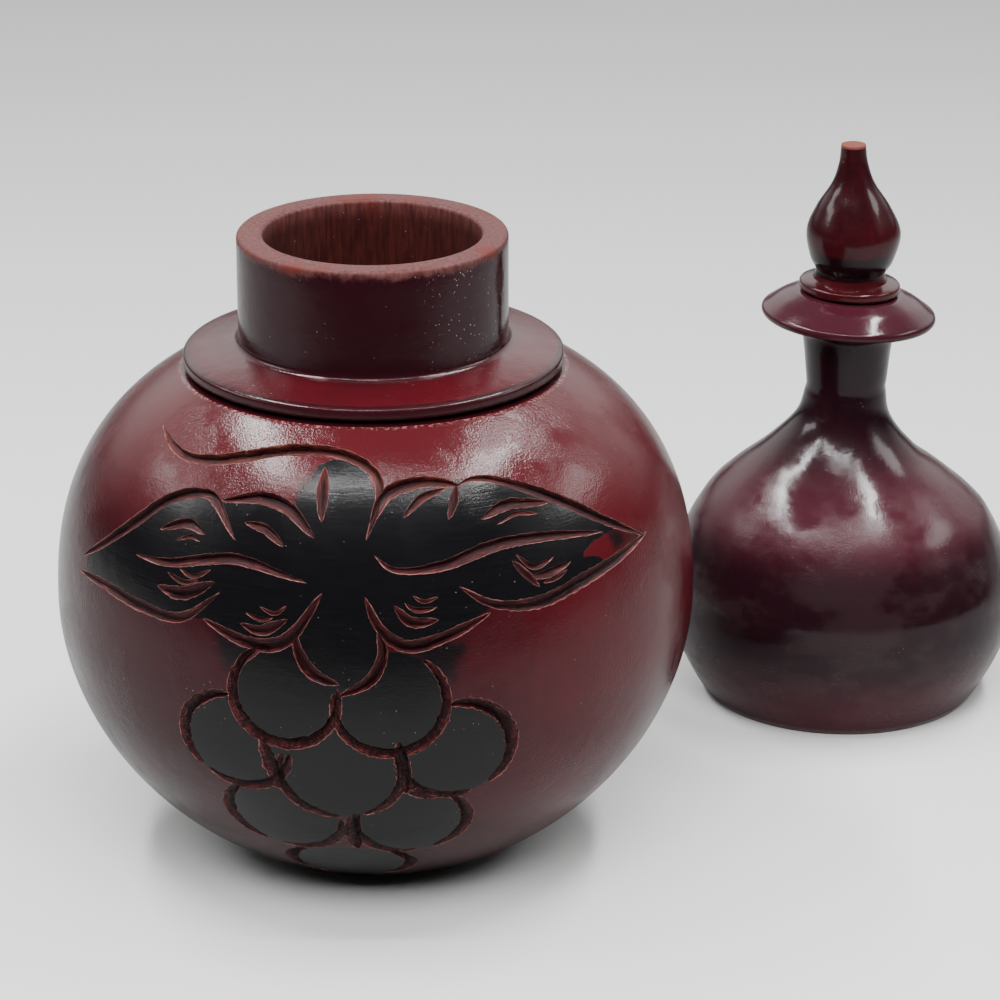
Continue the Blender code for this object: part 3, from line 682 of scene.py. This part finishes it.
for across, up, half_width, half_height, stretches in GRAPES:
    angles = np.radians(np.arange(0, 360, 12))
    PAINTED.append(list(zip(across + (half_width + 0.9) * np.cos(angles), up + (half_height + 0.9) * np.sin(angles))))
UNPAINTED = [[(36.8, 18.6), (40, 20.2), (44, 20.6), (48, 20.4), (48, 16.4), (42, 16), (40.5, 17.8)]]

points, radius = places_of(jar)
across, up, depth = drawn_places(points, radius)
belly = (points[:, 2] < edge_z + 0.1 * MM) & (depth < 3) & (up < skin_above + 0.5)
cut = np.where(belly, np.maximum(depth, 0), 0)
paint = np.full(len(points), -9.0)
for shape in PAINTED:
    paint = np.maximum(paint, inside_shape(across, up, shape))
for shape in UNPAINTED:
    paint = np.minimum(paint, -inside_shape(across, up, shape))
paint = np.where(belly, np.clip(paint, -9, 9), -9.0)
haze = np.full(len(points), -9.0)
for shape in HAZY:
    haze = np.maximum(haze, inside_shape(across, up, shape))
haze = np.where(belly, haze, -9.0)
top_gap = (jar_top - points[:, 2]) / MM
rim = np.where(radius < fillet_radius, 0.75 - top_gap + np.clip((SPIGOT_RADIUS - radius) / MM, 0, 2), -9.0)
bare = np.where(radius < bore + 0.2 * MM, np.clip(top_gap * 4, 1, 9), rim)
bare = np.where((radius < BELLY_RADIUS - 4.5 * MM) & (depth > 3) & (points[:, 2] < edge_z), 9.0, bare)
keep(jar, "cut", cut)
keep(jar, "paint", paint)
keep(jar, "haze", haze)
keep(jar, "bare", np.clip(bare, -9, 9))
print("%d points are in cuts, %d are painted" % ((cut > 0.02).sum(), (paint > 0).sum()))

# %% The way along each cut
def keep_strokes(piece, across, up, cut):
    """For points in a cut, keep the way along it and across it, and how rough it is."""
    track = np.concatenate(tracks)
    kept = np.zeros((len(across), 3))
    inside = np.flatnonzero(cut > 0.004)
    for start in range(0, len(inside), 4000):
        some = inside[start:start + 4000]
        gap_x = across[some, None] - track[None, :, 0]
        gap_y = up[some, None] - track[None, :, 1]
        nearest = (gap_x ** 2 + gap_y ** 2).argmin(axis=1)
        rows = np.arange(len(some))
        heading = track[nearest, 2:4] / (np.linalg.norm(track[nearest, 2:4], axis=1)[:, None] + 1e-9)
        dx, dy = gap_x[rows, nearest], gap_y[rows, nearest]
        kept[some, 0] = track[nearest, 4] + dx * heading[:, 0] + dy * heading[:, 1]
        kept[some, 1] = dx * -heading[:, 1] + dy * heading[:, 0]
        kept[some, 2] = track[nearest, 5]
    keep(piece, "stroke", kept)


keep_strokes(jar, across, up, cut)

# %% [markdown]
# ## Materials as sums
# A material is a sum of patterns. The small class below wraps an output of a node, so that a pattern can be written
# as it would be on paper.

# %% A wire that can be added and multiplied
def ink(red, green, blue):
    """A colour as a picture shows it, from 0 to 255, made linear."""
    return tuple(((c / 255 + 0.055) / 1.055) ** 2.4 if c > 10 else c / 255 / 12.92 for c in (red, green, blue)) + (1,)


class Wire:
    """An output of a node. Sums and products with it make new nodes."""

    def __init__(self, tree, socket):
        self.tree, self.socket = tree, socket

    def node(self, kind, settings=None, inputs=None, output=0):
        made = self.tree.nodes.new(kind)
        for name, value in (settings or {}).items():
            setattr(made, name, value)
        for name, value in (inputs or {}).items():
            if isinstance(value, Wire):
                self.tree.links.new(value.socket, made.inputs[name])
            else:
                made.inputs[name].default_value = value
        return Wire(self.tree, made.outputs[output]) if made.outputs else made

    def maths(self, operation, *others, clamp=False):
        return self.node('ShaderNodeMath', {"operation": operation, "use_clamp": clamp},
                         dict(enumerate((self,) + others)))

    def __add__(self, other): return self.maths('ADD', other)
    def __radd__(self, other): return self.maths('ADD', other)
    def __sub__(self, other): return self.maths('SUBTRACT', other)
    def __rsub__(self, other): return (self * -1).maths('ADD', other)
    def __mul__(self, other): return self.maths('MULTIPLY', other)
    def __rmul__(self, other): return self.maths('MULTIPLY', other)
    def __truediv__(self, other): return self.maths('DIVIDE', other)
    def __pow__(self, other): return self.maths('POWER', other)

    def between(self, low, high):
        """Nothing below low, one above high, and a soft step between."""
        return self.node('ShaderNodeMapRange', {"interpolation_type": 'SMOOTHSTEP'},
                         {"Value": self, "From Min": low, "From Max": high})

    def stretched(self, x, y, z):
        return self.node('ShaderNodeVectorMath', {"operation": 'MULTIPLY'}, {0: self, 1: (x, y, z)})

    def noise(self, scale=1.0, detail=3.0, roughness=0.5, twist=0.0):
        """A cloudy pattern about 0.5 at this place."""
        return self.node('ShaderNodeTexNoise', None, {"Vector": self, "Scale": scale, "Detail": detail,
                                                      "Roughness": roughness, "Distortion": twist})

    def dots(self, scale, size):
        """One in small spots, nothing between them."""
        gap = self.node('ShaderNodeTexVoronoi', {"feature": 'F1'}, {"Vector": self, "Scale": scale})
        return (1 - gap / size).maths('MAXIMUM', 0.0)

    def mix(self, less, more):
        """A colour between two, by this share."""
        return self.node('ShaderNodeMix', {"data_type": 'RGBA'}, {0: self, 6: less, 7: more}, output=2)


def start_material(name):
    """A new material, with the place in the piece and the measures that it keeps."""
    material = bpy.data.materials.new(name)
    material.use_nodes = True
    tree = material.node_tree
    tree.nodes.clear()
    seed = Wire(tree, None)
    place = seed.node('ShaderNodeTexCoord', output='Object').stretched(1000, 1000, 1000)
    return material, place


def measure(place, name, output='Fac'):
    return place.node('ShaderNodeAttribute', {"attribute_name": name}, output=output)


def finish_material(material, place, height, settings):
    """Join the colours to a surface, with its height in millimetres as bumps."""
    print(material.name, "is a sum of", len(place.tree.nodes), "nodes")
    bump = place.node('ShaderNodeBump', None, {"Height": height, "Distance": MM, "Strength": 1.0})
    surface = place.node('ShaderNodeBsdfPrincipled', None, dict(settings, Normal=bump))
    place.node('ShaderNodeOutputMaterial', None, {"Surface": surface})
    return material

# %% [markdown]
# ## Cherry lacquer
# The lacquer is a dark cherry red, brushed while the piece turned, so it has fine lines round the axis. Dust has
# settled in it. Each piece gives it a share from dark to light, which holds both its own tone and the light and shade
# painted onto it. Old hand-brushed lacquer mirrors less than glass does, so its gloss is set a little lower, and it is
# the same on every piece.

# %% Lacquer that each piece shares
GLOSS = 1.34
DUST = ink(190, 160, 160)


def lacquer(place, dark, light, share, mottle, ridges, peel):
    """Colour and height of brushed lacquer: lighter where the share is high, and the share paints light and shade as
    well as tone. Ridges follow the lathe, peel is how uneven it dried."""
    turning = measure(place, "turning", 'Vector')
    lines = turning.stretched(4, 4, 3.4).noise(1.0, 4, 0.65)
    streaks = place.stretched(0.9, 0.9, 0.07).noise(1.0, 4, 0.6)
    clouds = place.stretched(0.06, 0.06, 0.08).noise(1.0, 4, 0.6)
    share = (share + (clouds - 0.5) * mottle + (lines - 0.5) * 0.16 + (streaks - 0.5) * 0.3).between(0.0, 1.0)
    colour = share.mix(dark, light)
    patch = place.noise(0.10, 3, 0.5).between(0.48, 0.62)
    dust = place.dots(0.75, 0.085) * patch
    uneven = (lines - 0.5) * 0.12 + patch * 0.05
    speckle = place.noise(3.0, 2, 0.6)
    height = (lines - 0.5) * ridges + speckle * peel * (0.4 + patch * 0.6) + place.noise(0.3, 2, 0.5) * 0.06
    return colour, uneven, height, dust


# %% [markdown]
# ## The jar's finish
# The lacquer is painted lighter on the shoulder and on the right side, where light falls on them, and painted darker
# as shade from the middle of the collar's rim up and in the undercut below the collar; it is darkest on the spigot. A
# painted highlight runs along the edge of the ledge under the collar. The carver painted leaves, stem and grapes black
# after the lacquer had dried, and the paint strays a little and runs into haze where the brush ran dry. The cuts show
# bare wood that has taken some stain, painted darker towards their bottoms as shade, and pale along their torn edges,
# where the pale also paints the highlight that these edges catch. The rim of the spigot is worn, and the bore was
# never coated. Each of these is one mask from the measures, and one colour that it lets in.

# %% The jar's material
material, place = start_material("carved_cherry_lacquer")
turning = measure(place, "turning", 'Vector')
z = place.node('ShaderNodeSeparateXYZ', None, {0: place}, output="Z")
x = place.node('ShaderNodeSeparateXYZ', None, {0: place}, output="X")
shake = place.noise(1.1, 3, 0.6) - 0.5
paint = measure(place, "paint")
haze = (measure(place, "haze") + (place.noise(0.35, 4, 0.6) - 0.5) * 3).between(-1.2, 1.6)
painted = (paint + shake * 0.8).between(-0.12, 0.12).maths('MAXIMUM', haze * 0.92)
shoulder, collar, spigot = z.between(54, 78), z.between(79.5, 80.5), z.between(82.4, 84)
# Painted light and shade: the shoulder and the right side are painted lighter, where light falls on them, and from the
# middle of the collar's rim up the lacquer is painted darker as shade.
tone_and_painted_light = (shoulder * 0.8 + 0.1 + x.between(0, 40) * 0.6) * (1 - spigot) - collar * 0.3 - spigot * 0.1
turned = turning.node('ShaderNodeSeparateXYZ', None, {0: turning}, output="Z")
# Painted shade: the lacquer is darkened from the side of the collar's rim, through the undercut, down to the ledge.
edges = turned.between(RIM_RUN + 0.6, RIM_RUN + 1.1) * (1 - turned.between(LEDGE_RUN - 0.3, LEDGE_RUN + 0.1))
ledge = turned.between(LEDGE_RUN - 0.1, LEDGE_RUN + 0.1) * (1 - turned.between(LEDGE_RUN + 0.2, LEDGE_RUN + 0.8))
tone_and_painted_light = tone_and_painted_light - edges * 1.6
peel = 0.09 - z.between(79, 84) * 0.06 - painted * 0.05
colour, uneven, height, dust = lacquer(place, ink(38, 9, 14), ink(62, 12, 18), tone_and_painted_light, 0.7, 0.012, peel)
# Painted highlight: a pale, broken line along the edge of the ledge under the collar.
ledge_highlight = place.noise(2.2, 3, 0.7).between(0.5, 0.62) * ledge
colour = (ledge_highlight * 0.5).mix(colour, ink(170, 120, 118))
colour = (spigot * 0.5).mix(colour, ink(18, 6, 11))
cut = measure(place, "cut")
bare = measure(place, "bare")
stroke = measure(place, "stroke", 'Vector')
chopped = stroke.node('ShaderNodeSeparateXYZ', None, {0: stroke}, output="Z")
brush = turning.stretched(7, 7, 2.6).noise(1.0, 3, 0.6)
colour = painted.mix(colour, brush.mix(ink(5, 5, 6), ink(15, 14, 16)))
fibre = stroke.stretched(0.35, 4.5, 0).noise(1.0, 4, 0.7, 0.6)
chips = stroke.stretched(2.2, 1.1, 0).noise(1.0, 3, 0.65, 0.8)
wood = (fibre + (chips - 0.5) * chopped).between(0.34, 0.72).mix(ink(12, 4, 6), ink(74, 21, 24))
wood = (z.between(69, 75) * 0.5).mix(wood, fibre.between(0.3, 0.7).mix(ink(30, 8, 8), ink(112, 48, 36)))
wood = (fibre.between(0.6, 0.68) * 0.45).mix(wood, ink(138, 88, 82))
# Painted shade: the wood darkens towards the bottom of each cut.
wood = (cut.between(0.2, 0.8) * 0.75).mix(wood, ink(13, 4, 6))
grooved = (cut + shake * 0.03).between(0.012, 0.04)
# The pale line along each cut's edges is torn wood, and it also paints the highlight that these edges catch.
edge = grooved * (1 - cut.between(0.06, 0.13)) * (fibre + chips * 0.3 + shake * 0.5).between(0.52, 0.72)
colour = grooved.mix(colour, wood)
colour = (edge * 0.85).mix(colour, ink(158, 104, 98))
worn = (bare + shake * 1.6 + (place.noise(0.22, 3, 0.6) - 0.44) * 2.4).between(-0.9, 0.6)
grain = place.stretched(1.6, 1.6, 0.22).noise(1.0, 5, 0.6)
rim_wood = grain.between(0.25, 0.8).mix(ink(54, 24, 24), ink(90, 52, 50))
rim_wood = place.noise(0.13, 2, 0.5).between(0.52, 0.68).mix(rim_wood, ink(78, 27, 22))
rim_wood = bare.between(2.0, 6.0).mix(rim_wood, grain.between(0.3, 0.75).mix(ink(36, 13, 12), ink(58, 22, 19)))
colour = worn.mix(colour, rim_wood)
specks = place.dots(1.5, 0.16) * place.noise(0.25, 2, 0.5).between(0.44, 0.6) * z.between(80, 90) * x.between(6, 14)
pale = (dust * (1 - grooved) * 0.35).maths('MAXIMUM', specks * (1 - worn) * 0.8)
colour = pale.mix(colour, ink(214, 196, 196))
rough = 0.15 + uneven - z.between(80, 84) * 0.05 + painted * 0.04 + worn * 0.45 + grooved * 0.3
height = height + painted * (brush - 0.5) * 0.014
height = height * (1 - grooved) + grooved * (fibre * 0.2 + chips * chopped * 0.35) + worn * (grain * 0.05)
carved = finish_material(material, place, height, {
    "Base Color": colour, "Roughness": rough, "IOR": GLOSS})
jar.data.materials.clear()
jar.data.materials.append(carved)

# %% [markdown]
# ## The upper bulb's finish
# This half is the darker one, nearly black at its neck. Its lip, its shoulder and its foot are painted lighter and
# browner, as reflections of the pale floor and walls. Hands have dulled its belly, so soft smudges are a little
# rougher there and catch the light.

# %% The upper bulb's material
material, place = start_material("dark_cherry_lacquer")
z = place.node('ShaderNodeSeparateXYZ', None, {0: place}, output="Z")
lip, shoulder, foot = z.between(63, 70), z.between(27, 36) * (1 - z.between(38, 50)), 1 - z.between(2, 17)
# Painted reflection: the lip, the shoulder and the foot are lighter where they mirror the pale floor and walls.
tone_and_painted_light = lip * 0.6 + shoulder * 0.7 + foot * 0.8 + 0.12
smudge = place.stretched(0.07, 0.07, 0.12).noise(1.0, 3, 0.6).between(0.42, 0.58) * (1 - z.between(37, 45))
peel = smudge * 0.05 + 0.02
colour, uneven, height, dust = lacquer(place, ink(22, 8, 13), ink(54, 18, 27), tone_and_painted_light, 0.3, 0.003, peel)
rough = 0.13 + uneven + smudge * 0.12
colour = (dust * 0.35).maths('MAXIMUM', smudge * 0.012).mix(colour, DUST)
dark = finish_material(material, place, height, {
    "Base Color": colour, "Roughness": rough, "IOR": GLOSS})
upper.data.materials.clear()
upper.data.materials.append(dark)

# %% [markdown]
# ## The stopper's finish
# The stopper is the brightest red of the three, and darker round the foot of the drop. Its tip was cut off after the
# lacquer had dried, and shows dull end grain.

# %% The stopper's material
material, place = start_material("stopper_lacquer")
z = place.node('ShaderNodeSeparateXYZ', None, {0: place}, output="Z")
# Darker round the foot of the drop, from the waist up over the underside of its swell.
dark_drop_foot = z.between(74.6, 75) * (1 - z.between(77.5, 80))
tone_and_painted_light = z.between(88, 74) * 0.2 + 0.35 - dark_drop_foot * 0.9
colour, uneven, height, dust = lacquer(place, ink(18, 6, 9), ink(60, 13, 18), tone_and_painted_light, 0.5, 0.003, 0.02)
tip = z.between(96.6, 96.9)
colour = tip.mix((dust * 0.5).mix(colour, DUST), ink(98, 50, 42))
drop_finish = finish_material(material, place, height, {
    "Base Color": colour, "Roughness": 0.12 + uneven + tip * 0.6, "IOR": GLOSS})
stopper.data.materials.clear()
stopper.data.materials.append(drop_finish)

# %% [markdown]
# ## The studio
# The bottle stands on a pale floor in a light tent. White walls stand at its sides and back, strip lamps run round
# three sides above it, and the front is open and dark. The lacquer mirrors all of that, so the walls are painted
# into the world: dim at the horizon, brighter with height, and dark towards the front.

# %% The floor
put_tools_down()
bpy.ops.mesh.primitive_plane_add(size=6)
floor = bpy.context.object
floor.name = "floor"
material, place = start_material("pale_floor")
tone = place.noise(0.01, 3, 0.5).mix(ink(201, 203, 203), ink(207, 208, 207))
floor.data.materials.append(finish_material(material, place, place.noise(0.5, 2, 0.5) * 0.002, {
    "Base Color": tone, "Roughness": 0.55}))

# %% The dark card underneath
# A dark card lies just above the floor, black in front and grey behind. Only mirrored light sees it, so it is a
# painted
# reflection: the lacquer mirrors a darker floor than the one that the camera sees.
bpy.ops.mesh.primitive_plane_add(size=1, location=(0, -0.08, 0.001))
card = bpy.context.object
card.name = "black_card"
bpy.ops.object.mode_set(mode='EDIT')
bpy.ops.mesh.select_all(action='SELECT')
bpy.ops.transform.resize(value=(2.4, 2.0, 1.0))
bpy.ops.object.mode_set(mode='OBJECT')
card.visible_camera = card.visible_diffuse = card.visible_shadow = False
material, place = start_material("black_card")
far = place.node('ShaderNodeSeparateXYZ', None, {0: place}, output="Y").between(-200, 0)
card.data.materials.append(finish_material(material, place, place.noise(0.5, 2, 0.5) * 0.001, {
    "Base Color": far.mix(ink(20, 20, 20), ink(152, 153, 153)), "Roughness": 0.9}))

# %% The tent's walls
world = bpy.data.worlds.new("light_tent")
world.use_nodes = True
world.node_tree.nodes.clear()
ahead = Wire(world.node_tree, None).node('ShaderNodeTexCoord', output='Generated')
x, y, z = [ahead.node('ShaderNodeSeparateXYZ', None, {0: ahead}, output=axis) for axis in "XYZ"]
front = (y * -1) / (x * x + y * y + 0.0001) ** 0.5
opening = front.between(0.25, 0.6) * (1 - z.between(0.70, 0.84))
back = front.between(-0.3, -0.9) * z.between(0.02, 0.2) * (1 - z.between(0.45, 0.65))
wall = 0.08 + 0.7 * z.between(0.15, 0.5) - 0.4 * z.between(0.55, 0.75) + 1.2 * back
light = wall * (1 - opening) + 0.03 * opening
background = ahead.node('ShaderNodeBackground', None, {"Color": (1.0, 0.985, 0.975, 1), "Strength": light})
background.node('ShaderNodeOutputWorld', None, {"Surface": background})
bpy.context.scene.world = world

# %% The lamps
def lamp(name, place, width, height, watts, look_at=(0.03, 0.02, 0.04)):
    """A soft lamp that faces the bottle, with its width level."""
    light = bpy.data.lights.new(name, 'AREA')
    light.shape = 'RECTANGLE'
    light.size, light.size_y, light.energy = width, height, watts
    piece = bpy.data.objects.new(name, light)
    bpy.context.scene.collection.objects.link(piece)
    piece.location = place
    piece.rotation_euler = (Vector(look_at) - Vector(place)).to_track_quat('-Z', 'Y').to_euler()
    return piece


def strip(name, start, end, width, watts):
    """A strip lamp between two places, facing down."""
    start, end = Vector(start), Vector(end)
    piece = lamp(name, (start + end) / 2, (end - start).length, width, watts)
    piece.rotation_euler = (0, 0, (end - start).to_track_quat('X', 'Z').to_euler().z)
    return piece


strip("left_strip", (-0.215, -0.11, 0.5), (-0.225, 0.26, 0.5), 0.04, 3.0)
strip("right_strip", (0.24, -0.11, 0.5), (0.26, 0.26, 0.5), 0.04, 3.0)
strip("front_strip", (-0.18, -0.15, 0.5), (0.2, -0.15, 0.5), 0.02, 1.3)
fill = lamp("front_fill", (0.0, -0.42, 0.5), 0.6, 0.3, 7.5, (0, -0.1, 0))
fill.visible_glossy = False
lamp("left_lamp", (-0.52, 0.08, 0.42), 0.32, 0.12, 0.8)
lamp("right_lamp", (0.56, 0.1, 0.42), 0.32, 0.12, 0.8)

# %% The camera
camera = bpy.data.objects.new("camera", bpy.data.cameras.new("camera"))
bpy.context.scene.collection.objects.link(camera)
camera.location = (19.55 * MM, -616.38 * MM, 288.3 * MM)
camera.rotation_euler = (radians(90 - 20.657), 0, 0)
camera.data.sensor_width = 36
camera.data.lens = 151.2
bpy.context.scene.camera = camera
print("the camera stands at", [round(value / MM, 1) for value in camera.location], "mm")
